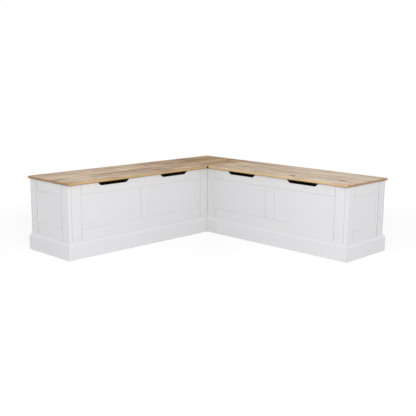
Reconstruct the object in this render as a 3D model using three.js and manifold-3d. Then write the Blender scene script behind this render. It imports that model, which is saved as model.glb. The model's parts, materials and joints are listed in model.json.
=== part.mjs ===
// Corner storage bench: two lidded boxes with framed and panelled fronts, joined by a
// square corner top. Millimetres, +Z up, with the origin on the floor under the middle.
// An arm is worked out in its own frame: X runs from its outer end to the back corner,
// Y is zero at the back face and negative towards the front, and Z is up from the floor.
// The right arm is the left arm mirrored across the diagonal of the corner.

import * as THREE from 'three';
import { mergeVertices } from 'three/addons/utils/BufferGeometryUtils.js';
import Module from 'manifold-3d';

const wasm = await Module();
wasm.setup();

// The whole bench
const armLength = 1510;
const armDepth = 390;
const seatHeight = 450;

// Wooden tops
const topThickness = 16;
const topFrontOverhang = 31;
const topEndOverhang = 16;
const topEdgeRound = 5.5;
const topEdgeSteps = 4;
const topSeamEase = 2.5;
const topSeamSteps = 2;
const lidEndGap = 2;

// Clearances: between glued or housed pieces, and under the tops
const fitGap = 0.3;
const seatGap = 0.3;
const cutOverrun = 5;

// Framed and panelled faces
const frameThickness = 20;
const stileWidth = 68;
const topRailWidth = 65;
const bottomRailFace = 65;
const bottomRailHidden = 65;
const frontOpeningCount = 2;
const cornerRound = 4;

// Moulding stuck on the inner edges of a frame, and the panel behind it
const stickingWidth = 2.4;
const stickingDepth = 9;
const shoulderWidth = 0.6;
const shoulderDepth = 7.2;
const stickingSteps = 4;
const panelThickness = 6;
const grooveDepth = 9;
const panelEdgeClearance = 0.5;

// Mortise and tenon joints of the frames
const tenonThickness = 7;
const tenonShoulder = 12;
const railTenonLength = 30;
const midTenonLength = 22;

// Finger cut-outs in the front top rail
const cutoutTopWidth = 244;
const cutoutBottomWidth = 194;
const cutoutDepth = 24;
const cutoutCornerReach = 9;
const cutoutSpacing = 486;
const curveSteps = 5;

// Plinth boards
const plinthHeight = 100;
const plinthFaceHeight = 84;
const plinthThickness = 22;
const plinthLedge = 6;
const plinthLedgeHeight = 2.5;
const plinthSwell = 4;

// Plain boards inside and behind
const innerEndThickness = 18;
const backThickness = 18;
const floorThickness = 12;
const floorHousing = 6;
const postSize = 45;
const cleatSize = 22;
const cleatEndGap = 5;

// Battens under the lids
const battenWidth = 45;
const battenThickness = 20;
const battenFrontInset = 25;
const battenBackInset = 28;
const battenEndInset = 150;
const battenChamfer = 8;

// Butt hinges
const hingeLength = 76;
const hingeEndInset = 160;
const leafThickness = 2;
const leafWidth = 15;
const barrelRadius = 4;
const pinRadius = 2;
const pinHeadRadius = 3.2;
const pinHeadLength = 2;
const knuckleCount = 5;
const barrelSides = 16;

// Heights and stations that follow from the sizes above
const topUnderside = seatHeight - topThickness;
const carcassHeight = topUnderside - seatGap;
const openingBottom = plinthHeight + bottomRailFace;
const openingTop = carcassHeight - topRailWidth;
const frontLength = armLength - armDepth;
const cornerTopSize = armDepth + topFrontOverhang;
const cornerTopEdge = armLength - cornerTopSize;
const lidStart = -topEndOverhang;
const lidEnd = cornerTopEdge - lidEndGap;
const seamMiddle = (lidEnd + cornerTopEdge) / 2;
const innerEndStart = seamMiddle - innerEndThickness / 2;
const innerEndEnd = seamMiddle + innerEndThickness / 2;
const frontBack = -armDepth + frameThickness;
const hingeAxisBehind = barrelRadius + fitGap;
const hingeAxisHeight = carcassHeight + seatGap / 2;
const hingeReach = hingeAxisBehind + barrelRadius;
const overallSpan = armLength + plinthThickness + hingeReach;
const hingeStations = [hingeEndInset, lidEnd + lidStart - hingeEndInset];
const hingeNames = ['outer_hinge', 'inner_hinge'];

// Materials
const paint = new THREE.MeshStandardMaterial({ color: 0xe9e9ea, roughness: 0.45, metalness: 0 });
const pine = new THREE.MeshStandardMaterial({ color: 0xc3ad92, roughness: 0.5, metalness: 0 });
const darkPine = new THREE.MeshStandardMaterial({ color: 0xa98a6c, roughness: 0.5, metalness: 0 });
const rawPine = new THREE.MeshStandardMaterial({ color: 0xd8bd94, roughness: 0.7, metalness: 0 });
const brass = new THREE.MeshStandardMaterial({ color: 0xb08d4a, roughness: 0.35, metalness: 1 });

// Directions of a frame's own axes: along its width, up, and out of its face
const axisX = new THREE.Vector3(1, 0, 0);
const axisY = new THREE.Vector3(0, 1, 0);
const axisZ = new THREE.Vector3(0, 0, 1);
const backwardX = axisX.clone().negate();
const forwardY = axisY.clone().negate();
const frontFace = new THREE.Matrix4().makeBasis(axisX, axisZ, forwardY).setPosition(0, -armDepth, 0);
const endFace = new THREE.Matrix4().makeBasis(forwardY, axisZ, backwardX);
const frontRunTurn = endFace.clone().setPosition(0, -armDepth, 0);
const endRunTurn = new THREE.Matrix4().makeBasis(backwardX, axisZ, axisY);
const alongX = new THREE.Matrix4().makeBasis(axisY, axisZ, axisX);

// Booleans on closed geometries
function toSolid(geometry) {
  const bare = geometry.clone();
  bare.deleteAttribute('normal');
  bare.deleteAttribute('uv');
  const merged = mergeVertices(bare);
  return new wasm.Manifold(new wasm.Mesh({
    numProp: 3,
    vertProperties: new Float32Array(merged.attributes.position.array),
    triVerts: new Uint32Array(merged.index.array),
  }));
}

function toGeometry(solid) {
  const mesh = solid.getMesh();
  const geometry = new THREE.BufferGeometry();
  geometry.setAttribute('position', new THREE.BufferAttribute(mesh.vertProperties, mesh.numProp));
  geometry.setIndex(new THREE.BufferAttribute(mesh.triVerts, 1));
  return geometry;
}

function cut(geometry, ...cutters) {
  return toGeometry(cutters.reduce((solid, cutter) => solid.subtract(toSolid(cutter)), toSolid(geometry)));
}

function join(geometry, ...others) {
  return toGeometry(others.reduce((solid, other) => solid.add(toSolid(other)), toSolid(geometry)));
}

function overlap(geometry, other) {
  return toGeometry(toSolid(geometry).intersect(toSolid(other)));
}

// Shapes and blocks
function block([x0, x1], [y0, y1], [z0, z1]) {
  const geometry = new THREE.BoxGeometry(x1 - x0, y1 - y0, z1 - z0);
  return geometry.translate((x0 + x1) / 2, (y0 + y1) / 2, (z0 + z1) / 2);
}

function grown([low, high], margin) {
  return [low - margin, high + margin];
}

function outline(points) {
  return new THREE.Shape(points.map(([u, v]) => new THREE.Vector2(u, v)));
}

// An outline whose listed corners are rounded: each corner is [u, v, reach of its curve].
function softOutline(corners) {
  const shape = new THREE.Shape();
  corners.forEach(([u, v, reach], index) => {
    const corner = new THREE.Vector2(u, v);
    const before = new THREE.Vector2(...corners.at(index - 1));
    const after = new THREE.Vector2(...corners[(index + 1) % corners.length]);
    const start = corner.clone().sub(before).setLength(reach).negate().add(corner);
    const end = after.sub(corner).setLength(reach).add(corner);
    if (index === 0) {
      shape.moveTo(start.x, start.y);
    } else {
      shape.lineTo(start.x, start.y);
    }
    if (reach > 0) {
      shape.quadraticCurveTo(corner.x, corner.y, end.x, end.y);
    }
  });
  return shape;
}

function extrude(shape, [start, end]) {
  const options = { depth: end - start, bevelEnabled: false, curveSegments: curveSteps };
  return new THREE.ExtrudeGeometry(shape, options).translate(0, 0, start);
}

// A board with its edges rounded all round.
function easedBoard([x0, x1], [y0, y1], [z0, z1], ease, steps) {
  const corners = [[x0, y0], [x1, y0], [x1, y1], [x0, y1]];
  const inward = [[1, 1], [-1, 1], [-1, -1], [1, -1]];
  const inner = corners.map(([x, y], index) => [x + ease * inward[index][0], y + ease * inward[index][1]]);
  const options = {
    depth: z1 - z0 - 2 * ease,
    bevelThickness: ease,
    bevelSize: ease,
    bevelSegments: steps,
  };
  return new THREE.ExtrudeGeometry(outline(inner), options).translate(0, 0, z0 + ease);
}

function rod(radius, [start, end]) {
  const geometry = new THREE.CylinderGeometry(radius, radius, end - start, barrelSides);
  return geometry.rotateZ(Math.PI / 2).translate((start + end) / 2, 0, 0);
}

// Frame and panel work, in the frame's own axes: u along, v up, and w out of the face,
// with the face at w = 0. Stiles stand the full height and the rails are tenoned into them.
const tenonDepths = [-(frameThickness + tenonThickness) / 2, -(frameThickness - tenonThickness) / 2];
const frameDepths = [-frameThickness, 0];
const mouldedBottom = openingBottom + fitGap;
const mouldedTop = openingTop - fitGap;

// The side of a stile that faces an opening, upwards: its moulding is mitred at both ends.
function mouldedSide(u, direction) {
  const lip = u + direction * stickingWidth;
  return [
    [u, mouldedBottom],
    [lip, mouldedBottom + stickingWidth],
    [lip, mouldedTop - stickingWidth],
    [u, mouldedTop],
  ];
}

function stileShape([u0, u1], [v0, v1], openLeft, openRight) {
  const right = openRight ? mouldedSide(u1, 1) : [];
  const left = openLeft ? mouldedSide(u0, -1).reverse() : [];
  return outline([[u0, v0], [u1, v0], ...right, [u1, v1], [u0, v1], ...left]);
}

function midStileShape([u0, u1]) {
  return outline([...mouldedSide(u1, 1), ...mouldedSide(u0, -1).reverse()]);
}

// The edge of a rail that faces the openings, from left to right.
function mouldedEdge(openings, v, direction) {
  const lip = v + direction * stickingWidth;
  return openings.flatMap(([start, end]) => [
    [start + fitGap, v],
    [start + fitGap + stickingWidth, lip],
    [end - fitGap - stickingWidth, lip],
    [end - fitGap, v],
  ]);
}

function topRailShape(openings) {
  const edge = mouldedEdge(openings, openingTop, -1);
  const [first, last] = [edge[0][0], edge.at(-1)[0]];
  return outline([...edge, [last, carcassHeight], [first, carcassHeight]]);
}

function bottomRailShape(openings) {
  const edge = mouldedEdge(openings, openingBottom, 1);
  const [first, last] = [edge[0][0], edge.at(-1)[0]];
  const foot = plinthHeight - bottomRailHidden;
  return outline([[first, foot], [last, foot], ...edge.reverse()]);
}

// Cutter for one opening: a square shoulder, a narrow step, then a quarter round going in.
function openingCutter([u0, u1]) {
  const rings = [[-cutOverrun, 0], [shoulderDepth, 0]];
  for (let step = 0; step <= stickingSteps; step += 1) {
    const angle = (step / stickingSteps) * (Math.PI / 2);
    const depth = shoulderDepth + (stickingDepth - shoulderDepth) * (1 - Math.cos(angle));
    const inset = shoulderWidth + (stickingWidth - shoulderWidth) * Math.sin(angle);
    rings.push([depth, inset]);
  }
  rings.push([frameThickness + cutOverrun, stickingWidth]);
  return loftDown(rings, [u0, u1], [openingBottom, openingTop]);
}

// A closed loft of rectangles: each ring is [depth below the face, inset of its sides].
function loftDown(rings, [u0, u1], [v0, v1]) {
  const positions = rings.flatMap(([depth, inset]) => [
    [u0 + inset, v0 + inset, -depth],
    [u1 - inset, v0 + inset, -depth],
    [u1 - inset, v1 - inset, -depth],
    [u0 + inset, v1 - inset, -depth],
  ]).flat();
  const indices = [0, 1, 2, 0, 2, 3];
  for (let ring = 1; ring < rings.length; ring += 1) {
    const upper = 4 * (ring - 1);
    const lower = 4 * ring;
    for (let side = 0; side < 4; side += 1) {
      const next = (side + 1) % 4;
      indices.push(lower + side, lower + next, upper + next);
      indices.push(lower + side, upper + next, upper + side);
    }
  }
  const base = 4 * (rings.length - 1);
  indices.push(base, base + 2, base + 1, base, base + 3, base + 2);
  const geometry = new THREE.BufferGeometry();
  geometry.setAttribute('position', new THREE.Float32BufferAttribute(positions, 3));
  geometry.setIndex(indices);
  return geometry;
}

// Cutter for the groove that holds a panel's edges, and the panel that goes in it.
function grooveCutter([u0, u1]) {
  const margin = stickingWidth - grooveDepth;
  const depths = [-stickingDepth - panelThickness - 2 * fitGap, -stickingDepth];
  return block(grown([u0, u1], -margin), grown([openingBottom, openingTop], -margin), depths);
}

function framePanel([u0, u1]) {
  const margin = stickingWidth - grooveDepth + panelEdgeClearance;
  const depths = [-stickingDepth - fitGap - panelThickness, -stickingDepth - fitGap];
  return block(grown([u0, u1], -margin), grown([openingBottom, openingTop], -margin), depths);
}

// Tenon bars run through a rail or mid stile and stand out at both ends.
function railTenon([u0, u1], [v0, v1], margin) {
  return block(
    grown([u0, u1], railTenonLength + margin),
    grown([v0, v1], margin - tenonShoulder),
    grown(tenonDepths, margin),
  );
}

function midTenon([u0, u1], margin) {
  return block(
    grown([u0, u1], margin - tenonShoulder),
    grown([mouldedBottom, mouldedTop], midTenonLength + margin),
    grown(tenonDepths, margin),
  );
}

// All the pieces of one framed face, keyed by short names.
function panelFrame([start, end], openingCount) {
  const openWidth = (end - start - (openingCount + 1) * stileWidth) / openingCount;
  const pitch = openWidth + stileWidth;
  const openings = Array.from({ length: openingCount }, (_, index) => {
    const left = start + stileWidth + index * pitch;
    return [left, left + openWidth];
  });
  const railSpan = [openings[0][0] + fitGap, openings.at(-1)[1] - fitGap];
  const topSpan = [openingTop, carcassHeight];
  const bottomSpan = [plinthHeight - bottomRailHidden, openingBottom];
  const midSpans = openings.slice(1).map(([left]) => [left - stileWidth, left]);
  const moulding = openings.flatMap((opening) => [openingCutter(opening), grooveCutter(opening)]);
  const railMortises = [topSpan, bottomSpan].map((heights) => railTenon(railSpan, heights, fitGap));
  const midMortises = midSpans.map((span) => midTenon(span, fitGap));
  const full = [0, carcassHeight];

  const firstStile = extrude(stileShape([start, start + stileWidth], full, false, true), frameDepths);
  const lastStile = extrude(stileShape([end - stileWidth, end], full, true, false), frameDepths);
  const topRail = join(extrude(topRailShape(openings), frameDepths), railTenon(railSpan, topSpan, 0));
  const bottomRail = join(extrude(bottomRailShape(openings), frameDepths), railTenon(railSpan, bottomSpan, 0));
  return {
    firstStile: cut(firstStile, ...moulding, ...railMortises),
    lastStile: cut(lastStile, ...moulding, ...railMortises),
    topRail: cut(topRail, ...moulding, ...midMortises),
    bottomRail: cut(bottomRail, ...moulding, ...midMortises),
    midStiles: midSpans.map((span) => {
      const stile = join(extrude(midStileShape(span), frameDepths), midTenon(span, 0));
      return cut(stile, ...moulding);
    }),
    panels: openings.map(framePanel),
  };
}

// A finger cut-out: slanted ends, rounded bottom corners, open at the top of the rail.
function fingerCutter(middle) {
  const bottom = carcassHeight - cutoutDepth;
  const slope = (cutoutTopWidth - cutoutBottomWidth) / 2 / cutoutDepth;
  const rim = cutoutTopWidth / 2 + slope * cutOverrun;
  const flat = cutoutBottomWidth / 2;
  const shape = softOutline([
    [middle - flat, bottom, cutoutCornerReach],
    [middle + flat, bottom, cutoutCornerReach],
    [middle + rim, carcassHeight + cutOverrun, 0],
    [middle - rim, carcassHeight + cutOverrun, 0],
  ]);
  return extrude(shape, grown(frameDepths, cutOverrun));
}

// The floor board sits in a housing cut in every piece round it.
const floorLimits = [
  [frameThickness - floorHousing, innerEndStart + floorHousing],
  [frontBack - floorHousing, -backThickness + floorHousing],
  [plinthHeight - floorThickness, plinthHeight],
];

function floorCutter() {
  return block(...floorLimits.map((limits) => grown(limits, fitGap)));
}

function frontPieces() {
  const span = [frameThickness + fitGap, frontLength - fitGap];
  const frame = panelFrame(span, frontOpeningCount);
  const middle = (span[0] + span[1]) / 2;
  const cutouts = [-1, 1].map((side) => fingerCutter(middle + (side * cutoutSpacing) / 2));
  const place = (geometry) => geometry.applyMatrix4(frontFace);
  return {
    front_outer_stile: cut(place(frame.firstStile), floorCutter()),
    front_mid_stile: place(frame.midStiles[0]),
    front_inner_stile: cut(place(frame.lastStile), floorCutter()),
    front_top_rail: place(cut(frame.topRail, ...cutouts)),
    front_bottom_rail: cut(place(frame.bottomRail), floorCutter()),
    front_outer_panel: place(frame.panels[0]),
    front_inner_panel: place(frame.panels[1]),
  };
}

// The end frame carries the outer front corner of the box, which is rounded.
function endPieces() {
  const frame = panelFrame([0, armDepth], 1);
  const place = (geometry) => geometry.applyMatrix4(endFace);
  const plan = extrude(softOutline([
    [0, -armDepth, cornerRound],
    [frameThickness, -armDepth, 0],
    [frameThickness, 0, 0],
    [0, 0, 0],
  ]), [0, carcassHeight]);
  return {
    end_front_stile: cut(overlap(place(frame.lastStile), plan), floorCutter()),
    end_back_stile: cut(place(frame.firstStile), floorCutter()),
    end_top_rail: place(frame.topRail),
    end_bottom_rail: cut(place(frame.bottomRail), floorCutter()),
    end_panel: place(frame.panels[0]),
  };
}

// Plinth boards have a swelled slope and a small ledge at the top, and are mitred in plan.
// The profile is drawn outwards from the face of the box.
function plinthProfile() {
  const ledgeBottom = plinthHeight - plinthLedgeHeight;
  const shape = new THREE.Shape();
  shape.moveTo(fitGap, 0);
  shape.lineTo(plinthThickness, 0);
  shape.lineTo(plinthThickness, plinthFaceHeight);
  shape.quadraticCurveTo(
    (plinthLedge + plinthThickness) / 2 + plinthSwell,
    (ledgeBottom + plinthFaceHeight) / 2 + plinthSwell,
    plinthLedge,
    ledgeBottom,
  );
  shape.lineTo(plinthLedge, plinthHeight);
  shape.lineTo(fitGap, plinthHeight);
  return shape;
}

function plinthPieces() {
  const outer = armDepth + plinthThickness;
  const heights = grown([0, plinthHeight], cutOverrun);
  const frontRun = extrude(plinthProfile(), grown([-frontLength, plinthThickness], cutOverrun));
  const endRun = extrude(plinthProfile(), grown([-outer, 0], cutOverrun));
  const frontPlan = outline([
    [-plinthThickness, -outer],
    [frontLength - plinthThickness - fitGap, -outer],
    [frontLength - fitGap, -armDepth],
    [0, -armDepth],
  ]);
  const endPlan = outline([
    [-plinthThickness, fitGap - outer],
    [0, fitGap - armDepth],
    [0, 0],
    [-plinthThickness, 0],
  ]);
  return {
    front_plinth: overlap(frontRun.applyMatrix4(frontRunTurn), extrude(frontPlan, heights)),
    end_plinth: overlap(endRun.applyMatrix4(endRunTurn), extrude(endPlan, heights)),
  };
}

// Hinge leaves are let in flush: a recess in the back board and one in the lid for each.
function hingeRecess(station, heights) {
  const halfLength = hingeLength / 2 + fitGap;
  return block([station - halfLength, station + halfLength], [-leafWidth - fitGap, cutOverrun], heights);
}

function boardPieces() {
  const recessHeights = [carcassHeight - leafThickness - fitGap, carcassHeight + cutOverrun];
  const recesses = hingeStations.map((station) => hingeRecess(station, recessHeights));
  const heights = [0, carcassHeight];
  const innerEndDepths = [frontBack + fitGap, -backThickness - fitGap];
  const innerEnd = block([innerEndStart, innerEndEnd], innerEndDepths, heights);
  const back = block([frameThickness + fitGap, innerEndEnd], [-backThickness, 0], heights);
  return {
    inner_end_board: cut(innerEnd, floorCutter()),
    back_board: cut(back, floorCutter(), ...recesses),
    floor_board: block(...floorLimits),
  };
}

// A batten across the underside of a lid, with its lower corners cut back.
function batten(station) {
  const [low, high] = [topUnderside - fitGap - battenThickness, topUnderside - fitGap];
  const front = frontBack + battenFrontInset;
  const back = -backThickness - battenBackInset;
  const shape = outline([
    [front + battenChamfer, low],
    [back - battenChamfer, low],
    [back, low + battenChamfer],
    [back, high],
    [front, high],
    [front, low + battenChamfer],
  ]);
  const geometry = extrude(shape, [station - battenWidth / 2, station + battenWidth / 2]);
  return geometry.applyMatrix4(alongX);
}

// The edges at the front and the outer end are well rounded, the back and the seam only eased.
function lidBoard() {
  const heights = [topUnderside, seatHeight];
  const longSpan = [lidStart, lidEnd + cornerTopSize];
  const deepSpan = [-cornerTopSize, cornerTopSize];
  const rounded = easedBoard(longSpan, deepSpan, heights, topEdgeRound, topEdgeSteps);
  const eased = easedBoard([lidStart, lidEnd], [-cornerTopSize, 0], heights, topSeamEase, topSeamSteps);
  return overlap(rounded, eased);
}

// The lid and its battens, measured from the hinge axis that they turn about.
function lidPieces() {
  const recessHeights = [topUnderside - cutOverrun, topUnderside + leafThickness + fitGap];
  const recesses = hingeStations.map((station) => hingeRecess(station, recessHeights));
  const pieces = {
    lid: cut(lidBoard(), ...recesses),
    lid_outer_batten: batten(frameThickness + battenEndInset),
    lid_inner_batten: batten(innerEndStart - battenEndInset),
  };
  Object.values(pieces).forEach((geometry) => geometry.translate(0, -hingeAxisBehind, -hingeAxisHeight));
  return pieces;
}

// Butt hinges, drawn about their own axis: knuckles alternate between the two leaves.
function knuckleSpan(index, margin) {
  const pitch = hingeLength / knuckleCount;
  const start = -hingeLength / 2 + index * pitch;
  return grown([start, start + pitch], margin);
}

function hingeLeaf(isFixed) {
  const heights = isFixed
    ? [-seatGap / 2 - leafThickness, -seatGap / 2]
    : [seatGap / 2, seatGap / 2 + leafThickness];
  const plate = block(grown([0, 0], hingeLength / 2), [-hingeAxisBehind - leafWidth, 0], heights);
  const knuckles = Array.from({ length: knuckleCount }, (_, index) => index);
  const own = knuckles.filter((index) => (index % 2 === 0) === isFixed);
  const others = knuckles.filter((index) => (index % 2 === 0) !== isFixed);
  const barrels = own.map((index) => rod(barrelRadius, knuckleSpan(index, -fitGap / 2)));
  const room = others.map((index) => rod(hingeAxisBehind, knuckleSpan(index, fitGap / 2)));
  const bore = rod(pinRadius + fitGap, grown([0, 0], hingeLength / 2 + cutOverrun));
  return cut(join(plate, ...barrels), ...room, bore);
}

// The pin is turned, with a low button at each end.
function hingePin() {
  const shank = hingeLength / 2 + fitGap;
  const end = shank + pinHeadLength;
  const profile = new THREE.Path();
  profile.moveTo(0, -end);
  profile.quadraticCurveTo(pinHeadRadius, -end, pinHeadRadius, -shank);
  profile.lineTo(pinRadius, -shank);
  profile.lineTo(pinRadius, shank);
  profile.lineTo(pinHeadRadius, shank);
  profile.quadraticCurveTo(pinHeadRadius, end, 0, end);
  return new THREE.LatheGeometry(profile.getPoints(curveSteps), barrelSides).rotateZ(-Math.PI / 2);
}

// The corner: a post behind the two fronts, two backs, four cleats and the square top.
function cornerPieces() {
  const boxEnd = innerEndEnd - armLength;
  const inside = -backThickness - fitGap;
  const cleatHeights = [carcassHeight - cleatSize, carcassHeight];
  const backCleatSpan = [boxEnd + cleatSize + 2 * cleatEndGap, inside - cleatSize - 2 * cleatEndGap];
  const endCleatSpan = [-armDepth + postSize + cleatEndGap, inside - cleatEndGap];
  const heights = [0, carcassHeight];
  const postSpan = [-armDepth, -armDepth + postSize];
  const topSpan = [-cornerTopSize, 0];
  const topHeights = [topUnderside, seatHeight];
  const backStart = boxEnd + fitGap;
  return {
    corner_top: easedBoard(topSpan, topSpan, topHeights, topSeamEase, topSeamSteps),
    corner_post: block(postSpan, postSpan, heights),
    corner_left_back: block([backStart, 0], [-backThickness, 0], heights),
    corner_right_back: block([-backThickness, 0], [backStart, inside], heights),
    corner_left_back_cleat: block(backCleatSpan, [inside - cleatSize, inside], cleatHeights),
    corner_right_back_cleat: block([inside - cleatSize, inside], backCleatSpan, cleatHeights),
    corner_left_end_cleat: block([backStart, backStart + cleatSize], endCleatSpan, cleatHeights),
    corner_right_end_cleat: block(endCleatSpan, [backStart, backStart + cleatSize], cleatHeights),
  };
}

// The mirror image of a geometry across the diagonal, with its faces turned out again.
function acrossDiagonal(geometry) {
  const mirror = new THREE.Matrix4().makeBasis(axisY, axisX, axisZ);
  const mirrored = geometry.clone().applyMatrix4(mirror);
  const index = mirrored.index.array;
  for (let corner = 0; corner < index.length; corner += 3) {
    [index[corner + 1], index[corner + 2]] = [index[corner + 2], index[corner + 1]];
  }
  return mirrored;
}

function addPiece(group, name, geometry, material) {
  const faceted = geometry.toNonIndexed();
  faceted.computeVertexNormals();
  const mesh = new THREE.Mesh(faceted, material);
  mesh.name = name;
  group.add(mesh);
}

function materialOf(name) {
  if (name.includes('hinge')) {
    return brass;
  }
  if (name.includes('corner_top')) {
    return darkPine;
  }
  if (name.includes('batten') || name.includes('cleat') || name.includes('floor')) {
    return rawPine;
  }
  return name.endsWith('lid') ? pine : paint;
}

// One arm: side is 'left' or 'right', and the right arm is mirrored piece by piece.
function buildArm(side) {
  const arm = new THREE.Group();
  const isRight = side === 'right';
  const at = (x, y, z) => (isRight ? new THREE.Vector3(y, x, z) : new THREE.Vector3(x, y, z));
  const addAll = (group, pieces) => Object.entries(pieces).forEach(([name, geometry]) => {
    const whole = toGeometry(toSolid(geometry));
    addPiece(group, `${side}_${name}`, isRight ? acrossDiagonal(whole) : whole, materialOf(name));
  });
  arm.position.copy(at(-armLength, 0, 0));
  addAll(arm, frontPieces());
  addAll(arm, endPieces());
  addAll(arm, boardPieces());
  addAll(arm, plinthPieces());

  const lid = new THREE.Group();
  lid.position.copy(at(0, hingeAxisBehind, hingeAxisHeight));
  addAll(lid, lidPieces());
  hingeStations.forEach((station, index) => {
    const fixedPart = new THREE.Group();
    const movingPart = new THREE.Group();
    const name = hingeNames[index];
    fixedPart.position.copy(at(station, hingeAxisBehind, hingeAxisHeight));
    movingPart.position.copy(at(station, 0, 0));
    addAll(fixedPart, { [`${name}_fixed_leaf`]: hingeLeaf(true), [`${name}_pin`]: hingePin() });
    addAll(movingPart, { [`${name}_lid_leaf`]: hingeLeaf(false) });
    arm.add(fixedPart);
    lid.add(movingPart);
  });
  arm.add(lid);
  return arm;
}

function buildCorner() {
  const corner = new THREE.Group();
  Object.entries(cornerPieces()).forEach(([name, geometry]) => {
    addPiece(corner, name, toGeometry(toSolid(geometry)), materialOf(name));
  });
  return corner;
}

const bench = new THREE.Group();
const centring = overallSpan / 2 - hingeReach;
bench.position.set(centring, centring, 0);
bench.add(buildArm('left'), buildArm('right'), buildCorner());

export default bench;
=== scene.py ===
# %% [markdown]
# A corner storage bench, dressed for its picture.
#
# The bench is two long lidded boxes that meet at a square corner top. Its shape comes
# from a finished set of solids, the frame, in metres with the floor at height zero. This
# script gives each solid what a joiner and a painter would give the real piece: eased
# edges, brushed paint, planed pine with its grain and knots, and small brass screws.

# %% Load the frame
import json
import math
import random
import bmesh
import bpy
from mathutils import Matrix, Vector

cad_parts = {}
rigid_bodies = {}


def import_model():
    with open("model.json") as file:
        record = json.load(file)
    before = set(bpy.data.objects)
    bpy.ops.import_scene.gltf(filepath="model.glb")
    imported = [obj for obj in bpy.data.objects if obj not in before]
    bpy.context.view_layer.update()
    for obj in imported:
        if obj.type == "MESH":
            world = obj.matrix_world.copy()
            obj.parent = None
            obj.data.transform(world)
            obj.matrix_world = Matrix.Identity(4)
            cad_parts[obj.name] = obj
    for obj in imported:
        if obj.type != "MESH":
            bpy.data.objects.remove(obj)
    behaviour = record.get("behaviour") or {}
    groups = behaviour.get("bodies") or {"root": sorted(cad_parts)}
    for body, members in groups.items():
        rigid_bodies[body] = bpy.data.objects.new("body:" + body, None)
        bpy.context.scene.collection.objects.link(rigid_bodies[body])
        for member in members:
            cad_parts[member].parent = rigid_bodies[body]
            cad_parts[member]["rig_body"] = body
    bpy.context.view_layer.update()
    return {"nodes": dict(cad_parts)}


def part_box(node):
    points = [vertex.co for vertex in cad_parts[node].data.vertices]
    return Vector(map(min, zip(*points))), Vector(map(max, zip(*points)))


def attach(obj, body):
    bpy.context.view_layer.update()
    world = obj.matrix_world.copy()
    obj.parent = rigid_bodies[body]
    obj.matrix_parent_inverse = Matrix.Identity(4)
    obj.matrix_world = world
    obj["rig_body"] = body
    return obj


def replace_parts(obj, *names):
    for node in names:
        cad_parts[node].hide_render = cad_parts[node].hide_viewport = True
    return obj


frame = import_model()

# %% [markdown]
# The camera stands where the photographer stood. Its place and turn were worked out from
# the straight edges of the bench: the two arms run away from it at nearly the same slant,
# and the far corner lies just above the near ends. A real lens has a focal length, so it
# is given in millimetres on a 36 mm wide sensor.

# %% Camera
MM = 0.001
camera_place = Vector((-3.0497, -2.9966, 1.0841))
camera_yaw = math.radians(45.51)
camera_pitch = math.radians(10.93)
camera_roll = math.radians(0.411)
focal_length_mm = 62.3
sensor_width_mm = 36.0


def camera_axes(yaw, pitch, roll):
    """The camera's right, up and forward directions."""
    forward = Vector((
        math.sin(yaw) * math.cos(pitch), math.cos(yaw) * math.cos(pitch), -math.sin(pitch),
    ))
    level = Vector((math.cos(yaw), -math.sin(yaw), 0.0))
    upright = level.cross(forward)
    right = level * math.cos(roll) + upright * math.sin(roll)
    up = upright * math.cos(roll) - level * math.sin(roll)
    return right, up, forward


lens = bpy.data.cameras.new("camera")
lens.lens = focal_length_mm
lens.sensor_width = sensor_width_mm
camera = bpy.data.objects.new("camera", lens)
right, up, forward = camera_axes(camera_yaw, camera_pitch, camera_roll)
turn = Matrix((right, up, -forward)).transposed().to_4x4()
camera.matrix_world = Matrix.Translation(camera_place) @ turn
bpy.context.scene.collection.objects.link(camera)
bpy.context.scene.camera = camera
print("camera at", tuple(round(v, 3) for v in camera_place))

# %% [markdown]
# The room's light and all finishes are trees of shader nodes. The finishes are procedural,
# which means that they are worked out from the place of each point of the wood. These few
# helpers keep the trees short to read: each one adds a node, connects its inputs or sets
# their values, and returns its output.

# %% Helpers for shader trees
def connect(tree, socket, value):
    if isinstance(value, bpy.types.NodeSocket):
        tree.links.new(value, socket)
    else:
        socket.default_value = value


def math_step(tree, operation, *values, clamp=False):
    node = tree.nodes.new("ShaderNodeMath")
    node.operation = operation
    node.use_clamp = clamp
    for socket, value in zip(node.inputs, values):
        connect(tree, socket, value)
    return node.outputs[0]


def product(tree, first, *others):
    total = first
    for value in others:
        total = math_step(tree, "MULTIPLY", total, value)
    return total


def weighted_sum(tree, start, *terms):
    """start + value * weight for each (value, weight)."""
    total = start
    for value, weight in terms:
        total = math_step(tree, "MULTIPLY_ADD", value, weight, total)
    return total


def vector_step(tree, operation, *values):
    node = tree.nodes.new("ShaderNodeVectorMath")
    node.operation = operation
    for socket, value in zip(node.inputs, values):
        connect(tree, socket, value)
    scalar = operation in ("LENGTH", "DISTANCE", "DOT_PRODUCT")
    return node.outputs["Value" if scalar else "Vector"]


def soft_step(tree, value, start, end, low=0.0, high=1.0):
    """low before start, high after end, with a smooth change between."""
    node = tree.nodes.new("ShaderNodeMapRange")
    node.interpolation_type = "SMOOTHSTEP"
    given = {"Value": value, "From Min": start, "From Max": end, "To Min": low, "To Max": high}
    for name, number in given.items():
        connect(tree, node.inputs[name], number)
    return node.outputs["Result"]


def noise(tree, place, cells, detail, roughness):
    """Noise from 0 to 1. cells says how many a metre holds along each axis."""
    node = tree.nodes.new("ShaderNodeTexNoise")
    node.inputs["Scale"].default_value = 1.0
    node.inputs["Detail"].default_value = detail
    node.inputs["Roughness"].default_value = roughness
    connect(tree, node.inputs["Vector"], vector_step(tree, "MULTIPLY", place, cells))
    return node.outputs["Fac"]


def mixed(tree, share, first, second, blend="MIX"):
    node = tree.nodes.new("ShaderNodeMix")
    node.data_type = "RGBA"
    node.blend_type = blend
    connect(tree, node.inputs["Factor"], share)
    colors = [socket for socket in node.inputs if socket.type == "RGBA"]
    connect(tree, colors[0], first)
    connect(tree, colors[1], second)
    return next(socket for socket in node.outputs if socket.type == "RGBA")


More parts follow.
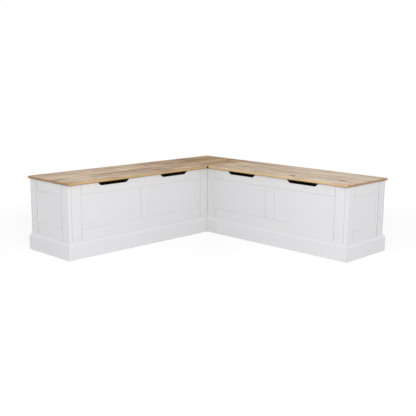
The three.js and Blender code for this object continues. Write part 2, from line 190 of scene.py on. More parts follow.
def parts_of(tree, vector):
    node = tree.nodes.new("ShaderNodeSeparateXYZ")
    tree.links.new(vector, node.inputs[0])
    return node.outputs["X"], node.outputs["Y"], node.outputs["Z"]


def joined(tree, x, y, z):
    node = tree.nodes.new("ShaderNodeCombineXYZ")
    for socket, value in zip(node.inputs, (x, y, z)):
        connect(tree, socket, value)
    return node.outputs[0]


def coordinate(tree, name):
    return tree.nodes.new("ShaderNodeTexCoord").outputs[name]


def tint(*screen):
    """A colour chip read on a screen, from 0 to 255, as the linear colour a shader needs."""
    shares = [value / 255 for value in screen]
    linear = [s / 12.92 if s <= 0.04 else ((s + 0.055) / 1.055) ** 2.4 for s in shares]
    return (*linear, 1.0)


print("shader helpers ready")

# %% [markdown]
# White furniture is photographed between white walls, so that light comes from all sides
# and mostly from the height of the eye. Here the world stands for the walls: it is bright
# near the horizon and darker towards the ceiling. The camera and mirrors see it as pure
# white, which is a strength of one.

# %% The white room
scene = bpy.context.scene
scene.view_settings.view_transform = "Standard"
wall_strength = 0.96
ceiling_strength = 0.52


def background_ray(tree):
    """One for rays that should see the white background: the camera's and mirrors'."""
    path = tree.nodes.new("ShaderNodeLightPath")
    seen = math_step(tree, "MAXIMUM", path.outputs["Is Camera Ray"], path.outputs["Is Glossy Ray"])
    return math_step(tree, "MAXIMUM", seen, path.outputs["Is Transmission Ray"])


def make_world():
    world = bpy.data.worlds.new("studio")
    world.use_nodes = True
    tree = world.node_tree
    background = tree.nodes["Background"]
    background.inputs["Color"].default_value = (1.0, 1.0, 1.0, 1.0)
    height = math_step(tree, "MAXIMUM", parts_of(tree, coordinate(tree, "Generated"))[2], 0.0)
    room = weighted_sum(tree, wall_strength, (height, ceiling_strength - wall_strength))
    strength = math_step(tree, "MAXIMUM", room, background_ray(tree))
    connect(tree, background.inputs["Strength"], strength)
    scene.world = world


make_world()
print("room of strength", ceiling_strength, "above and", wall_strength, "at the horizon")

# %% [markdown]
# The floor is white as well. Near the bench it keeps a share of its own shading, which
# holds the soft shadow under the plinth. Farther out it shines as white as the background,
# so that no horizon shows.

# %% Floor
floor_color = (0.92, 0.92, 0.92, 1.0)
seen_floor_color = (1.3, 1.3, 1.3, 1.0)
floor_half = 40.0
floor_shadow_share = 0.4
shadow_reach = 1.4
shadow_end = 2.4


def make_floor():
    mesh = bpy.data.meshes.new("studio_floor")
    form = bmesh.new()
    bmesh.ops.create_grid(form, x_segments=1, y_segments=1, size=floor_half)
    form.to_mesh(mesh)
    form.free()
    floor = bpy.data.objects.new("studio_floor", mesh)
    scene.collection.objects.link(floor)
    material = bpy.data.materials.new("studio_floor")
    material.use_nodes = True
    tree = material.node_tree
    tree.nodes.clear()
    distance = vector_step(tree, "LENGTH", coordinate(tree, "Object"))
    white_share = soft_step(tree, distance, shadow_reach, shadow_end, 1.0 - floor_shadow_share, 1.0)
    seen = tree.nodes.new("ShaderNodeLightPath").outputs["Is Camera Ray"]
    matt = tree.nodes.new("ShaderNodeBsdfDiffuse")
    connect(tree, matt.inputs["Color"], mixed(tree, seen, floor_color, seen_floor_color))
    white = tree.nodes.new("ShaderNodeEmission")
    both = tree.nodes.new("ShaderNodeMixShader")
    connect(tree, both.inputs[0], product(tree, white_share, background_ray(tree)))
    connect(tree, both.inputs[1], matt.outputs[0])
    connect(tree, both.inputs[2], white.outputs[0])
    output = tree.nodes.new("ShaderNodeOutputMaterial")
    connect(tree, output.inputs["Surface"], both.outputs[0])
    mesh.materials.append(material)


make_floor()
print("floor white from", shadow_end, "metres out")

# %% [markdown]
# One long strip softbox hangs above the lens. It is close to the bench, so the fronts near
# it are a little brighter than the inner corner and the two ends, as in the photograph. It
# hangs so high that its light doesn't reach through the finger cut-outs to the backs of the
# boxes, so the cut-outs stay black.

# %% Softbox
softbox_place = (-2.42, -2.70, 1.36)
softbox_aim = (0.0, 0.0, 0.25)
softbox_size = (2.0, 0.2)
softbox_watts = 49.0


def add_softbox(name, place, aim, size, power):
    lamp = bpy.data.lights.new(name, "AREA")
    lamp.shape = "RECTANGLE"
    lamp.size, lamp.size_y = size
    lamp.energy = power
    softbox = bpy.data.objects.new(name, lamp)
    direction = Vector(aim) - Vector(place)
    aimed = direction.to_track_quat("-Z", "Y").to_matrix().to_4x4()
    softbox.matrix_world = Matrix.Translation(place) @ aimed
    softbox.visible_camera = False
    scene.collection.objects.link(softbox)


add_softbox("softbox", softbox_place, softbox_aim, softbox_size, softbox_watts)
print("softbox of", softbox_watts, "watts")

# %% [markdown]
# A part of a finish that several materials share is built once as a node group. It has
# named inputs and outputs, and each material places it with values of its own.

# %% Helpers for shader groups
SOCKETS = {"value": "NodeSocketFloat", "vector": "NodeSocketVector", "color": "NodeSocketColor"}


def new_group(name, inputs, outputs):
    """A node group with named inputs, given as (name, kind, start value), and outputs."""
    tree = bpy.data.node_groups.new(name, "ShaderNodeTree")
    for label, kind, start in inputs:
        socket = tree.interface.new_socket(name=label, in_out="INPUT", socket_type=SOCKETS[kind])
        socket.default_value = start
    for label, kind in outputs:
        tree.interface.new_socket(name=label, in_out="OUTPUT", socket_type=SOCKETS[kind])
    given = tree.nodes.new("NodeGroupInput")
    result = tree.nodes.new("NodeGroupOutput")
    return tree, given.outputs, result.inputs


def use_group(tree, group, **values):
    """Places a group in a tree. A socket called Board Width is set as board_width."""
    node = tree.nodes.new("ShaderNodeGroup")
    node.node_tree = group
    for socket in node.inputs:
        key = socket.name.lower().replace(" ", "_")
        if key in values:
            connect(tree, socket, values[key])
    return node.outputs


print("socket kinds:", ", ".join(SOCKETS))

# %% [markdown]
# Pine shows its growth rings. In a sawn board they run as fine dark lines along the length,
# because the saw passes beside the heart of the tree. The group below measures how far each
# point lies from a slightly leaning heart line, which is different for every board, and
# draws a ring at each few millimetres of that distance. The same field gives the long lines
# on the face and the short arcs on the end. Broader streaks, fine fibres and the thin joint
# between two glued boards are worked out beside it.

# %% Group: pine figure
def build_pine_figure():
    tree, given, result = new_group(
        "pine figure",
        [("Place", "vector", (0, 0, 0)), ("Board Width", "value", 0.105), ("Seed", "value", 0.0),
         ("Pull", "value", 0.0), ("Ring Width", "value", 0.0045), ("Joint", "value", 1.0)],
        [(name, "value") for name in ("Rings", "Streaks", "Fibres", "Joints", "Board")],
    )
    heart_spread = 0.26
    heart_wander = 0.05
    wander_noise = ((1.3, 1.0, 1.0), 1.0, 0.5)
    heart_depths = (0.025, 0.11)
    lean_spread = 0.07
    step_between_boards = 37.0
    shake_noise = ((5.0, 70.0, 70.0), 3.0, 0.5)
    shake_depth = 0.004
    late_wood = (0.35, 0.88)
    year_end = (0.9, 1.0)
    faintest_year = 0.35
    broad_noise = ((1.3, 26.0, 20.0), 3.0, 0.62)
    patch_noise = ((4.0, 13.0, 13.0), 3.0, 0.6)
    streak_limits = (0.36, 0.64)
    fibre_noise = ((35.0, 1300.0, 1300.0), 2.0, 0.6)
    joint_half = (0.0002, 0.0009)
    drift_noise = ((3.2, 1.0, 1.0), 2.0, 0.6)
    drift_limits = (0.3, 0.7)
    # The board that a point lies on, and three chances that differ from board to board.
    along, across, through = parts_of(tree, given["Place"])
    boards = math_step(tree, "DIVIDE", across, given["Board Width"])
    index = math_step(tree, "FLOOR", boards)
    middle = math_step(tree, "ADD", index, 0.5)
    aside = product(tree, math_step(tree, "SUBTRACT", boards, middle), given["Board Width"])
    chance = tree.nodes.new("ShaderNodeTexWhiteNoise")
    chance.noise_dimensions = "2D"
    connect(tree, chance.inputs["Vector"], joined(tree, index, given["Seed"], 0.0))
    pick, pick_depth, pick_lean = parts_of(tree, chance.outputs["Color"])
    # The heart line of that board's tree, and how far a point lies from it.
    board_shift = product(tree, pick, step_between_boards)
    board_line = joined(tree, along, board_shift, given["Seed"])
    wander = noise(tree, board_line, *wander_noise)
    heart = weighted_sum(
        tree, -(heart_spread + heart_wander) / 2, (pick, heart_spread), (wander, heart_wander),
    )
    depth = weighted_sum(tree, heart_depths[0], (pick_depth, heart_depths[1] - heart_depths[0]))
    lean = product(tree, math_step(tree, "SUBTRACT", pick_lean, 0.5), lean_spread)
    below = math_step(tree, "ADD", math_step(tree, "MULTIPLY_ADD", along, lean, depth), through)
    beside = math_step(tree, "SUBTRACT", aside, heart)
    distance = vector_step(tree, "LENGTH", joined(tree, beside, below, 0.0))
    # Growth rings, dark in the late wood at the end of each year, some years more than others.
    shifted_across = math_step(tree, "ADD", across, board_shift)
    shifted = joined(tree, along, shifted_across, through)
    shaken = noise(tree, shifted, *shake_noise)
    radius = weighted_sum(tree, distance, (given["Pull"], 1.0), (shaken, shake_depth))
    count = math_step(tree, "DIVIDE", radius, given["Ring Width"])
    phase = math_step(tree, "FRACT", count)
    year = tree.nodes.new("ShaderNodeTexWhiteNoise")
    year.noise_dimensions = "1D"
    connect(tree, year.inputs["W"], math_step(tree, "FLOOR", count))
    fades = soft_step(tree, phase, *year_end, 1.0, 0.0)
    late = product(tree, soft_step(tree, phase, *late_wood), fades)
    strength = weighted_sum(tree, faintest_year, (year.outputs["Value"], 1.0 - faintest_year))
    connect(tree, result["Rings"], product(tree, late, strength))
    # Broader streaks, which bend round knots too, and fine fibres.
    bent = joined(tree, along, math_step(tree, "ADD", shifted_across, given["Pull"]), through)
    broad = noise(tree, bent, *broad_noise)
    patches = noise(tree, bent, *patch_noise)
    streaks = weighted_sum(tree, 0.0, (broad, 0.5), (patches, 0.5))
    connect(tree, result["Streaks"], soft_step(tree, streaks, *streak_limits))
    connect(tree, result["Fibres"], noise(tree, shifted, *fibre_noise))
    # The thin joint between two boards, and the shade of each whole board.
    half_width = product(tree, given["Board Width"], 0.5)
    edge = math_step(tree, "SUBTRACT", half_width, math_step(tree, "ABSOLUTE", aside))
    joint = soft_step(tree, edge, *joint_half, 1.0, 0.0)
    connect(tree, result["Joints"], product(tree, joint, given["Joint"]))
    drift = soft_step(tree, noise(tree, board_line, *drift_noise), *drift_limits)
    board_shade = weighted_sum(tree, 0.0, (chance.outputs["Value"], 0.5), (drift, 0.5))
    connect(tree, result["Board"], board_shade)
    return tree


pine_figure = build_pine_figure()
print("pine figure:", len(pine_figure.nodes), "nodes")

# %% [markdown]
# A knot is the stump of a branch that the tree grew around. It is a dark oval with a darker
# rim, and the rings bend round it. The group gives the knot as a mask, its rim, and a pull
# that the ring distance takes in, so that the figure swells round the knot.

# %% Group: knot
def build_knot():
    tree, given, result = new_group(
        "knot",
        [("Place", "vector", (0, 0, 0)), ("Center", "vector", (0, 0, 0)),
         ("Radius", "value", 0.01)],
        [("Heart", "value"), ("Rim", "value"), ("Pull", "value")],
    )
    oval = (0.62, 1.0, 0.15)
    ragged_noise = ((120.0, 160.0, 60.0), 2.0, 0.5)
    ragged_share = 0.3
    heart_end = (0.82, 1.0)
    rim_width = (0.08, 0.3)
    pull_fade = -0.12
    pull_strength = 2.2
    offset = vector_step(tree, "SUBTRACT", given["Place"], given["Center"])
    ragged = noise(tree, given["Place"], *ragged_noise)
    far = vector_step(tree, "LENGTH", vector_step(tree, "MULTIPLY", offset, oval))
    reach = math_step(tree, "DIVIDE", far, given["Radius"])
    reach = weighted_sum(tree, -ragged_share / 2.0, (reach, 1.0), (ragged, ragged_share))
    connect(tree, result["Heart"], soft_step(tree, reach, *heart_end, 1.0, 0.0))
    ring = math_step(tree, "ABSOLUTE", math_step(tree, "SUBTRACT", reach, 1.0))
    connect(tree, result["Rim"], soft_step(tree, ring, *rim_width, 1.0, 0.0))
    fade = math_step(tree, "EXPONENT", product(tree, reach, reach, pull_fade))
    connect(tree, result["Pull"], product(tree, fade, given["Radius"], pull_strength))
    return tree


knot_group = build_knot()
print("knot:", len(knot_group.nodes), "nodes")

# %% [markdown]
# Here and there a board holds a short dark stripe, where resin and heartwood colour the
# early wood as well. It is long along the grain, narrow across it, and has a frayed outline.

# %% Group: dark stripe
def build_dark_stripe():
    tree, given, result = new_group(
        "dark stripe",
        [("Place", "vector", (0, 0, 0)), ("Center", "vector", (0, 0, 0)),
         ("Reach", "vector", (10, 50, 5))],
        [("Stripe", "value")],
    )
    frayed_noise = ((9.0, 110.0, 60.0), 3.0, 0.6)
    stripe_fade = (0.3, 1.25)
    offset = vector_step(tree, "SUBTRACT", given["Place"], given["Center"])
    far = vector_step(tree, "LENGTH", vector_step(tree, "MULTIPLY", offset, given["Reach"]))
    frayed = noise(tree, given["Place"], *frayed_noise)
    far = weighted_sum(tree, -0.5, (far, 1.0), (frayed, 1.0))
    connect(tree, result["Stripe"], soft_step(tree, far, *stripe_fade, 1.0, 0.0))
    return tree


dark_stripe = build_dark_stripe()
print("dark stripe:", len(dark_stripe.nodes), "nodes")

# %% [markdown]
# The colour of pine comes from these masks: pale early wood, darker late wood in the rings,
# broader streaks where resin gathers, and boards that differ a little because they come
# from different trees. The height for the bump follows the same masks, since the soft early
# wood wears lower than the hard late wood.

# %% Group: pine color
def build_pine_color():
    tree, given, result = new_group(
        "pine color",
        [("Rings", "value", 0.0), ("Streaks", "value", 0.5), ("Fibres", "value", 0.5),
         ("Joints", "value", 0.0), ("Board", "value", 0.5), ("Knots", "value", 0.0),
         ("Shift", "value", 0.0), ("Light Wood", "color", tint(222, 190, 145)),
         ("Dark Wood", "color", tint(150, 105, 62)), ("Knot Wood", "color", tint(116, 58, 22)),
         ("Ring Strength", "value", 0.4), ("Streak Strength", "value", 0.4),
         ("Board Strength", "value", 0.3)],
        [("Color", "color"), ("Height", "value")],
    )
    middle_tone = 0.66
    fibre_strength = 0.16
    joint_share = 0.75
    mean_height = 0.3
    heights = {"Rings": 0.35, "Fibres": 0.3, "Joints": -1.0, "Knots": 0.2}
    tone = weighted_sum(
        tree, middle_tone,
        (given["Shift"], 1.0),
        (math_step(tree, "SUBTRACT", given["Streaks"], 0.5), given["Streak Strength"]),
        (math_step(tree, "SUBTRACT", given["Board"], 0.5), given["Board Strength"]),
        (math_step(tree, "SUBTRACT", given["Fibres"], 0.5), fibre_strength),
    )
    darker = product(tree, given["Rings"], given["Ring Strength"])
    tone = math_step(tree, "SUBTRACT", tone, darker, clamp=True)
    wood = mixed(tree, tone, given["Dark Wood"], given["Light Wood"])
    knotted = mixed(tree, given["Knots"], wood, given["Knot Wood"])
    dark_joint = product(tree, given["Joints"], joint_share)
    connect(tree, result["Color"], mixed(tree, dark_joint, knotted, given["Knot Wood"]))
    masks = ((given[name], share) for name, share in heights.items())
    connect(tree, result["Height"], weighted_sum(tree, mean_height, *masks))
    return tree


pine_color = build_pine_color()
print("pine color:", len(pine_color.nodes), "nodes")

# %% [markdown]
# Furniture paint put on with a brush keeps fine lines along the stroke, faint clouds where
# two strokes overlapped, and a little of the wood's own figure under the film. On the
# arrises the film is thinner, and the primer shows in places. Along the upright edges of
# the frames a greyer line is painted in: a painted shade, standing in for the shadow along
# the upright edges of the panels. Ledges and slopes that face up are painted whiter: a
# painted highlight, standing in for light from above. None of it is strong: from a step
# away the paint is a plain soft white, and up close it is plainly brushed.

# %% Group: brushed paint
# A grey chip for the painted shade line along the upright edges of the frames.
shade_line_chip = tint(174, 172, 172)
# A whiter chip, a painted highlight on faces that look up, as light from above.
top_light_chip = tint(234, 234, 236)


def build_brushed_paint():
    tree, given, result = new_group(
        "brushed paint",
        [("Place", "vector", (0, 0, 0)), ("Paint", "color", tint(229, 229, 231)),
         ("Primer", "color", tint(214, 208, 198)), ("Rings", "value", 0.0), ("Edge", "value", 0.0),
         ("Line", "value", 0.0), ("Thick", "value", 0.0)],
        [("Color", "color"), ("Roughness", "value"), ("Height", "value")],
    )
    line_noise = ((7.0, 750.0, 750.0), 2.0, 0.6)
    stroke_noise = ((3.0, 80.0, 80.0), 2.0, 0.5)
    cloud_noise = ((7.0, 11.0, 11.0), 3.0, 0.6)
    rubbed_noise = ((60.0, 160.0, 160.0), 3.0, 0.7)
    rubbed_limits = (0.5, 0.66)
    thin_start = -0.06
    figure_share = 0.06
    brush_share = 0.12
    worn_share = 0.7
    line_limits = (0.3, 0.6, 0.7, 1.0)
    darkest_cloud = 0.985
    cloud_share = 0.03
    satin = 0.36
    dullness_weights = (0.12, 0.08, 0.15)
    relief_weights = (0.35, 0.45, 0.2)
    place = given["Place"]
    lines = noise(tree, place, *line_noise)
    strokes = noise(tree, place, *stroke_noise)
    clouds = noise(tree, place, *cloud_noise)
    rubbed_and_shaded = noise(tree, place, *rubbed_noise)
    worn_and_shaded = product(tree, given["Edge"], soft_step(tree, rubbed_and_shaded, *rubbed_limits))
    thin = weighted_sum(
        tree, thin_start, (lines, brush_share), (strokes, brush_share),
        (given["Rings"], figure_share), (worn_and_shaded, worn_share),
    )
    bare_share = math_step(tree, "MAXIMUM", thin, 0.0, clamp=True)
    film = mixed(tree, bare_share, given["Paint"], given["Primer"])
    # The painted shade line along upright edges.
    line = product(tree, given["Line"], soft_step(tree, clouds, *line_limits))
    film = mixed(tree, line, film, shade_line_chip)
    # The painted highlight on faces that look up.
    film = mixed(tree, given["Thick"], film, top_light_chip)
    tone = weighted_sum(tree, darkest_cloud, (clouds, cloud_share))
    connect(tree, result["Color"], vector_step(tree, "SCALE", film, (0, 0, 0), (0, 0, 0), tone))
    dullness = weighted_sum(tree, satin, *zip((clouds, lines, worn_and_shaded), dullness_weights))
    connect(tree, result["Roughness"], dullness)
    relief = weighted_sum(tree, 0.0, *zip((lines, strokes, given["Rings"]), relief_weights))
    connect(tree, result["Height"], relief)
    return tree


brushed_paint = build_brushed_paint()
print("brushed paint:", len(brushed_paint.nodes), "nodes")

# %% [markdown]
# Every finish starts in the same way: the place of a point on the object is turned so that
# its X runs along the grain. Each piece also carries a number of its own, its seed, so that
# two rails cut from one material don't show one board running through both. The seed and
# the marks for eased arrises and rubbed lines are attributes of the faces.
#
# The other helpers are masks, made from the direction that a surface faces or from its
# distance to a corner: the cut ends of boards, upright edges, the round under a top, ledges
# where paint gathers, and places near a corner.

# %% The grain's own frame
QUARTER_TURN = math.radians(90.0)
GRAIN_TURNS = {
    "along_x": ((1.0, 1.0, 1.0), (0.0, 0.0, 0.0)),
    "along_y": ((-1.0, 1.0, 1.0), (0.0, 0.0, -QUARTER_TURN)),
    "along_z": ((1.0, 1.0, 1.0), (0.0, QUARTER_TURN, 0.0)),
}
GRAIN_AXES = {"along_x": (1.0, 0.0, 0.0), "along_y": (0.0, 1.0, 0.0), "along_z": (0.0, 0.0, 1.0)}
end_grain_facing = (0.55, 0.85)
level_facing = (0.3, 0.8)
round_starts = (-0.45, -0.1)
round_ends = (-0.99, -0.95)
slope_facing = (0.2, 0.55)
metres_per_seed = 1.7


def new_material(name):
    material = bpy.data.materials.new(name)
    material.use_nodes = True
    return material, material.node_tree, material.node_tree.nodes["Principled BSDF"]


def face_value(tree, name):
    node = tree.nodes.new("ShaderNodeAttribute")
    node.attribute_name = name
    return node.outputs["Fac"]


def grain_place(tree, grain, origin=(0.0, 0.0, 0.0)):
    mapping = tree.nodes.new("ShaderNodeMapping")
    scale, rotation = GRAIN_TURNS[grain]
    mapping.inputs["Scale"].default_value = scale
    mapping.inputs["Rotation"].default_value = rotation
    mapping.inputs["Location"].default_value = origin
    connect(tree, mapping.inputs["Vector"], coordinate(tree, "Object"))
    return mapping.outputs["Vector"]


def seeded(tree, place):
    """The place, moved along the grain by the piece's own seed."""
    shift = product(tree, face_value(tree, "piece_seed"), metres_per_seed)
    return vector_step(tree, "ADD", place, joined(tree, shift, 0.0, 0.0))


def facing_share(tree, axis):
    """How squarely a surface faces along an axis, either way, from 0 to 1."""
    facing = vector_step(tree, "DOT_PRODUCT", coordinate(tree, "Normal"), axis)
    return math_step(tree, "ABSOLUTE", facing)


def end_grain(tree, grain):
    """One where the surface is cut across the grain, as at the ends of a board."""
    return soft_step(tree, facing_share(tree, GRAIN_AXES[grain]), *end_grain_facing)


def upright_face(tree):
    """One on upright faces, zero on level ones."""
    return soft_step(tree, facing_share(tree, GRAIN_AXES["along_z"]), *level_facing, 1.0, 0.0)


def lower_round(tree):
    """One on the rounded lower edge of a top, zero on its upright and level faces."""
    facing = parts_of(tree, coordinate(tree, "Normal"))[2]
    starts = soft_step(tree, facing, *round_starts, 1.0, 0.0)
    return product(tree, starts, soft_step(tree, facing, *round_ends))


def upward_slope(tree):
    """One on ledges and slopes that face up, which get a painted highlight as light from above."""
    return soft_step(tree, parts_of(tree, coordinate(tree, "Normal"))[2], *slope_facing)


def near_upright(tree, corner, full, none):
    """One nearer than full to an upright line through corner, zero past none."""
    offset = vector_step(tree, "SUBTRACT", coordinate(tree, "Object"), (*corner, 0.0))
    level = vector_step(tree, "MULTIPLY", offset, (1.0, 1.0, 0.0))
    return soft_step(tree, vector_step(tree, "LENGTH", level), full, none, 1.0, 0.0)


def shade(tree, shader, color, roughness, height, relief):
    """Gives a shader its color, roughness and bump. relief is the bump's depth and strength."""
    connect(tree, shader.inputs["Base Color"], color)
    connect(tree, shader.inputs["Roughness"], roughness)
    bump = tree.nodes.new("ShaderNodeBump")
    bump.inputs["Distance"].default_value, bump.inputs["Strength"].default_value = relief
    connect(tree, bump.inputs["Height"], height)
    connect(tree, shader.inputs["Normal"], bump.outputs["Normal"])


print("grain frames:", ", ".join(GRAIN_TURNS))

# %% [markdown]
# The seat tops are glued up from four pine boards, stained a warm brown and waxed. Wax
# gives a satin gloss, so at a low view the flat tops take a pale sheen from the white room
# and look greyer than their golden front edges. End grain drinks more stain and is darker.
# The rounded lower edge is painted darker, a painted shade under the top. Where the three
# tops meet, the ends beside the small gap are painted nearly black, a painted shade in the
# notch.
#
# A top's material first needs its knots and dark stripes, each a group at a place of its own.

# %% Knots and dark stripes of a top
heart_share = 0.85


def knots_of(tree, place, knots):
    """The swelling of the rings round some knots, and their dark ovals with darker rims."""
    pull, heart, rim = 0.0, 0.0, 0.0
    for center, radius in knots:
        knot = use_group(tree, knot_group, place=place, center=(*center, 0.0), radius=radius)
        pull = math_step(tree, "ADD", knot["Pull"], pull)
        heart = math_step(tree, "MAXIMUM", knot["Heart"], heart)
        rim = math_step(tree, "MAXIMUM", knot["Rim"], rim)
    return pull, math_step(tree, "MAXIMUM", product(tree, heart, heart_share), rim)


def stripes_of(tree, place, stripes):
    striped = 0.0
    for center, half_length, half_width, strength in stripes:
        reach = (1.0 / half_length, 1.0 / half_width, 0.0)
        stripe = use_group(tree, dark_stripe, place=place, center=(*center, 0.0), reach=reach)
        striped = math_step(tree, "MULTIPLY_ADD", stripe["Stripe"], strength, striped, clamp=True)
    return striped


def pine_wood(tree, place, figure_values, color_values):
    """The pine figure, and the pine color that is made from its masks."""
    figure = use_group(tree, pine_figure, place=place, **figure_values)
    names = ("Rings", "Streaks", "Fibres", "Joints", "Board")
    masks = {name.lower(): figure[name] for name in names}
    return figure, use_group(tree, pine_color, **masks, **color_values)


print("a knot's heart takes", heart_share, "of its dark colour")

# %% [markdown]
# Over the wood's own colour come the finishes, from the widest to the smallest: the dark
# stripes, the golden edge and the cut ends, and then the painted shade on the lower round
# and in the notch where the tops meet. The gloss is set low, because the flat top would
# otherwise mirror too much of the white room at the camera's low view.

# %% Finish: waxed pine tops
top_board_width = 0.108
ring_strength = 0.4
edge_share = 0.75
cut_end_share = 0.75
cut_end_chip = tint(160, 124, 100)
under_round_shade_share = 0.55
# The chip of the painted shade on the rounded lower edge.
under_round_shade_chip = tint(84, 58, 36)
meeting_corner = (0.34, 0.34)
notch_shade_reach = (0.005, 0.009)
# The chip of the painted shade in the notch where the three tops meet.
notch_shade_chip = tint(40, 22, 8)
stripe_chip = tint(112, 58, 8)
wax_gloss = 0.36
wax_roughness = 0.40
fibre_dullness = 0.08
ring_dullness = -0.05
cut_end_dullness = 0.25
wax_relief = (0.00012, 0.8)


def make_waxed_pine(name, grain, origin, lot):
    material, tree, shader = new_material(name)
    place = grain_place(tree, grain, origin)
    pull, knotted = knots_of(tree, place, lot["knots"])
    # inner rises towards a top's inner end, where its wood is given a painted shade.
    inner = soft_step(tree, parts_of(tree, place)[0], *lot["inner_span"])
    figure, wood = pine_wood(
        tree, place, {"board_width": top_board_width, "seed": lot["seed"], "pull": pull},
        {"light_wood": lot["light"], "dark_wood": lot["dark"], "knots": knotted,
         "shift": product(tree, inner, lot["inner_painted_shade"]), "ring_strength": ring_strength,
         "streak_strength": lot["variety"], "board_strength": lot["variety"]},
    )
    cut_end = end_grain(tree, grain)
    side = upright_face(tree)
    stain_and_shade = mixed(tree, stripes_of(tree, place, lot["stripes"]), wood["Color"], stripe_chip)
    stain_and_shade = mixed(tree, product(tree, side, edge_share), stain_and_shade, lot["edge"])
    stain_and_shade = mixed(tree, product(tree, cut_end, cut_end_share), stain_and_shade, cut_end_chip)
    # Painted shade: the rounded lower edge of a top is made darker.
    under_round_shade = product(tree, lower_round(tree), under_round_shade_share)
    stain_and_shade = mixed(tree, under_round_shade, stain_and_shade, under_round_shade_chip)
    # Painted shade: upright faces beside the gap where the three tops meet go nearly black.
    notch_shade = product(tree, near_upright(tree, meeting_corner, *notch_shade_reach), side)
    stain_and_shade = mixed(tree, notch_shade, stain_and_shade, notch_shade_chip)
    shader.inputs["Specular IOR Level"].default_value = wax_gloss
    dullness = weighted_sum(
        tree, wax_roughness, (figure["Fibres"], fibre_dullness), (figure["Rings"], ring_dullness),
        (cut_end, cut_end_dullness), (inner, lot["inner_dullness"]),
    )
    shade(tree, shader, stain_and_shade, dullness, wood["Height"], wax_relief)
    return material


print("wax of roughness", wax_roughness)

# %% [markdown]
# Each top is cut from a lot of its own. A lot says how light and dark its wood is, how much
# it varies, where its knots and dark stripes lie, and how much darker it is painted towards
# its inner end, a painted shade of the inside corner. Places are in metres along and across
# the grain, from the outer end and the front. A knot has a radius. A stripe has half its
# length, half its width and a strength. The square corner top comes from the darkest lot.

# %% The lots of the three tops
first_board_start = 0.005
front_of_tops = -0.34085
outer_end_of_lids = 0.76415
top_height = 0.45
left_lid_lot = {
    "seed": 3.0, "variety": 0.7,
    "inner_span": (0.3, 1.1), "inner_painted_shade": -0.16, "inner_dullness": 0.12,
    "light": tint(229, 201, 160), "dark": tint(140, 94, 54), "edge": tint(196, 164, 108),
    "knots": [((0.81, 0.29), 0.010), ((0.23, 0.06), 0.007)],
    "stripes": [((0.50, 0.163), 0.22, 0.020, 0.75), ((0.04, 0.166), 0.08, 0.020, 0.75),
                ((0.98, 0.145), 0.11, 0.022, 0.70), ((0.97, 0.27), 0.08, 0.018, 0.50)],
}
right_lid_lot = {
    "seed": 8.0, "variety": 0.42,
    "inner_span": (0.15, 1.1), "inner_painted_shade": -0.19, "inner_dullness": 0.12,
    "light": tint(252, 235, 205), "dark": tint(164, 122, 85), "edge": tint(217, 181, 124),
    "knots": [((0.12, 0.125), 0.013), ((0.45, 0.075), 0.013), ((0.29, 0.14), 0.006),
              ((0.92, 0.175), 0.008)],
    "stripes": [((1.07, 0.09), 0.06, 0.018, 0.35), ((0.92, 0.15), 0.05, 0.012, 0.25)],
}
corner_lot = {
    "seed": 21.0, "variety": 0.6,
    "inner_span": (0.0, 0.1), "inner_painted_shade": 0.03, "inner_dullness": 0.22,
    "light": tint(214, 177, 126), "dark": tint(112, 74, 34), "edge": tint(174, 138, 90),
    "knots": [((0.28, 0.07), 0.008)],
    "stripes": [((0.07, 0.27), 0.08, 0.026, 0.55), ((0.38, 0.14), 0.08, 0.026, 0.65),
                ((0.10, 0.38), 0.09, 0.020, 0.55), ((0.05, 0.11), 0.05, 0.018, 0.35)],
}
lid_origin = (outer_end_of_lids, front_of_tops + first_board_start, -top_height)
corner_origin = (front_of_tops, front_of_tops + first_board_start, -top_height)
left_lid_pine = make_waxed_pine("left_lid_pine", "along_x", lid_origin, left_lid_lot)
right_lid_pine = make_waxed_pine("right_lid_pine", "along_y", lid_origin, right_lid_lot)
corner_pine = make_waxed_pine("corner_pine", "along_x", corner_origin, corner_lot)
print("waxed tops ready")

# %% [markdown]
# Inside the boxes nothing is painted. The floors, battens and cleats, and the inner sides
# of the frames and boards, are bare planed pine, browner, plainer and duller than the tops.
# The sawn surfaces of the finger cut-outs are coloured nearly black, so that an opening
# reads as one dark shape from any side.

# %% Finish: bare pine, and near-black pine for the cut-outs
bare_chips = (tint(206, 168, 118), tint(152, 110, 68))
# Nearly black chips for the sawn faces of the finger cut-outs.
near_black_chips = (tint(34, 28, 23), tint(20, 16, 13))
dry_end_chip = tint(206, 184, 160)
dry_end_share = 0.6
dry_roughness = 0.6
dry_fibre_dullness = 0.2
bare_relief = (0.00016, 0.9)


def make_bare_pine(name, grain, chips):
    material, tree, shader = new_material(name)
    light, dark = chips
    figure, wood = pine_wood(
        tree, seeded(tree, grain_place(tree, grain)), {"board_width": 0.14, "seed": 5.0},
        {"light_wood": light, "dark_wood": dark,
         "ring_strength": 0.5, "streak_strength": 0.35, "board_strength": 0.3},
    )
    cut_end = product(tree, end_grain(tree, grain), dry_end_share)
    planed = mixed(tree, cut_end, wood["Color"], dry_end_chip, "MULTIPLY")
    dullness = weighted_sum(tree, dry_roughness, (figure["Fibres"], dry_fibre_dullness))
    shade(tree, shader, planed, dullness, wood["Height"], bare_relief)
    return material


LEVEL_GRAINS = ("along_x", "along_y")
bare_pine = {
    grain: make_bare_pine("bare_pine_" + grain, grain, bare_chips) for grain in GRAIN_TURNS
}
near_black_cut = {
    grain: make_bare_pine("stained_cut_" + grain, grain, near_black_chips) for grain in LEVEL_GRAINS
}
print("bare pine ready")

# %% [markdown]
# The frames, panels, plinths and backs are painted a cool, very light grey. The brush
# follows the grain of each part: up the stiles, along the rails, panels and plinths. Beside
# the inside corner the paint is made a little warmer: a painted warm cast, standing in for
# light bounced from the wooden tops into the shaded corner.

# %% Finish: brushed paint
paint_chip = tint(226, 226, 229)
primer_chip = tint(212, 207, 198)
